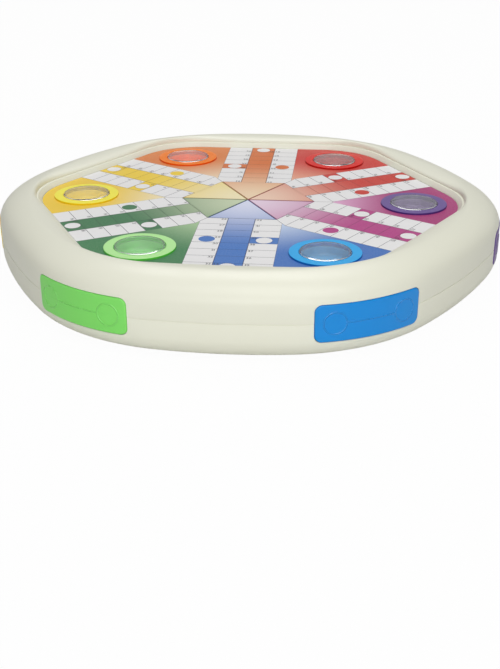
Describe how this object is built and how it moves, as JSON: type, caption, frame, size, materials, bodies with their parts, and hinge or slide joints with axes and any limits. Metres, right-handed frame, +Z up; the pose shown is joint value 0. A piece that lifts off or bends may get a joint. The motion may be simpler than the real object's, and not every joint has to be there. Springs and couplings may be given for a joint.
{
  "type": "pachisi board game",
  "caption": "Rounded hexagonal plastic game case with a pachisi board recessed in its top, a spiral race board underneath, clear press-down die domes in coloured rings, and corner drawers.",
  "frame": {"origin": "middle of the lower crown, the face that the case rests on", "axes": "+Z up through the pachisi side, +X through the purple corner"},
  "size_m": [0.4192, 0.4016, 0.063],
  "materials": {
    "case_plastic": "satin cream",
    "pachisi_print": "printed and laminated",
    "race_print": "printed and laminated",
    "clear_plastic": "clear gloss",
    "well_plastic": "as moulded",
    "ivory_plastic": "gloss",
    "spring_steel": "rolled strip",
    "screw_steel": "zinc plated",
    "purple_plastic": "gloss",
    "purple_drawer_plastic": "gloss, slightly translucent",
    "red_plastic": "gloss",
    "red_drawer_plastic": "gloss, slightly translucent",
    "orange_plastic": "gloss",
    "orange_drawer_plastic": "gloss, slightly translucent",
    "yellow_plastic": "gloss",
    "yellow_drawer_plastic": "gloss, slightly translucent",
    "green_plastic": "gloss",
    "green_drawer_plastic": "gloss, slightly translucent",
    "blue_plastic": "gloss",
    "blue_drawer_plastic": "gloss, slightly translucent"
  },
  "bodies": {
    "case": {"upper_shell": "case_plastic", "lower_shell": "case_plastic", "pachisi_board": "pachisi_print", "race_board": "race_print", "die_wells": "well_plastic", "case_screws": "screw_steel", "race_ring": "red_plastic", "race_spring": "spring_steel", "ring_purple": "purple_plastic", "spring_purple": "spring_steel", "ring_red": "red_plastic", "spring_red": "spring_steel", "ring_orange": "orange_plastic", "spring_orange": "spring_steel", "ring_yellow": "yellow_plastic", "spring_yellow": "spring_steel", "ring_green": "green_plastic", "spring_green": "spring_steel", "ring_blue": "blue_plastic", "spring_blue": "spring_steel"},
    "press_purple": {"dome_purple": "clear_plastic", "dish_purple": "purple_plastic"},
    "drawer_purple": {"drawer_purple": "purple_drawer_plastic", "counters_purple": "purple_plastic", "die_purple": "ivory_plastic"},
    "press_red": {"dome_red": "clear_plastic", "dish_red": "red_plastic"},
    "drawer_red": {"drawer_red": "red_drawer_plastic", "counters_red": "red_plastic", "die_red": "ivory_plastic"},
    "press_orange": {"dome_orange": "clear_plastic", "dish_orange": "orange_plastic"},
    "drawer_orange": {"drawer_orange": "orange_drawer_plastic", "counters_orange": "orange_plastic", "die_orange": "ivory_plastic"},
    "press_yellow": {"dome_yellow": "clear_plastic", "dish_yellow": "yellow_plastic"},
    "drawer_yellow": {"drawer_yellow": "yellow_drawer_plastic", "counters_yellow": "yellow_plastic", "die_yellow": "ivory_plastic"},
    "press_green": {"dome_green": "clear_plastic", "dish_green": "green_plastic"},
    "drawer_green": {"drawer_green": "green_drawer_plastic", "counters_green": "green_plastic", "die_green": "ivory_plastic"},
    "press_blue": {"dome_blue": "clear_plastic", "dish_blue": "blue_plastic"},
    "drawer_blue": {"drawer_blue": "blue_drawer_plastic", "counters_blue": "blue_plastic", "die_blue": "ivory_plastic"},
    "race_press": {"race_dome": "clear_plastic", "race_dish": "red_plastic"}
  },
  "joints": [
    {"name": "press_purple", "type": "slide", "parent": "case", "child": "press_purple", "axis": [0, 0, -1], "range_m": [0, 0.003], "stiffness_N_per_m": 2600, "springref_m": -0.001, "deforming": ["spring_purple"]},
    {"name": "slide_purple", "type": "slide", "parent": "case", "child": "drawer_purple", "axis": [1, 0, 0], "range_m": [0, 0.024]},
    {"name": "press_red", "type": "slide", "parent": "case", "child": "press_red", "axis": [0, 0, -1], "range_m": [0, 0.003], "stiffness_N_per_m": 2600, "springref_m": -0.001, "deforming": ["spring_red"]},
    {"name": "slide_red", "type": "slide", "parent": "case", "child": "drawer_red", "axis": [0.5, 0.866, 0], "range_m": [0, 0.024]},
    {"name": "press_orange", "type": "slide", "parent": "case", "child": "press_orange", "axis": [0, 0, -1], "range_m": [0, 0.003], "stiffness_N_per_m": 2600, "springref_m": -0.001, "deforming": ["spring_orange"]},
    {"name": "slide_orange", "type": "slide", "parent": "case", "child": "drawer_orange", "axis": [-0.5, 0.866, 0], "range_m": [0, 0.024]},
    {"name": "press_yellow", "type": "slide", "parent": "case", "child": "press_yellow", "axis": [0, 0, -1], "range_m": [0, 0.003], "stiffness_N_per_m": 2600, "springref_m": -0.001, "deforming": ["spring_yellow"]},
    {"name": "slide_yellow", "type": "slide", "parent": "case", "child": "drawer_yellow", "axis": [-1, 0, 0], "range_m": [0, 0.024]},
    {"name": "press_green", "type": "slide", "parent": "case", "child": "press_green", "axis": [0, 0, -1], "range_m": [0, 0.003], "stiffness_N_per_m": 2600, "springref_m": -0.001, "deforming": ["spring_green"]},
    {"name": "slide_green", "type": "slide", "parent": "case", "child": "drawer_green", "axis": [-0.5, -0.866, 0], "range_m": [0, 0.024]},
    {"name": "press_blue", "type": "slide", "parent": "case", "child": "press_blue", "axis": [0, 0, -1], "range_m": [0, 0.003], "stiffness_N_per_m": 2600, "springref_m": -0.001, "deforming": ["spring_blue"]},
    {"name": "slide_blue", "type": "slide", "parent": "case", "child": "drawer_blue", "axis": [0.5, -0.866, 0], "range_m": [0, 0.024]},
    {"name": "race_press", "type": "slide", "parent": "case", "child": "race_press", "axis": [0, 0, 1], "range_m": [0, 0.003], "stiffness_N_per_m": 2600, "springref_m": -0.001, "deforming": ["race_spring"]}
  ]
}
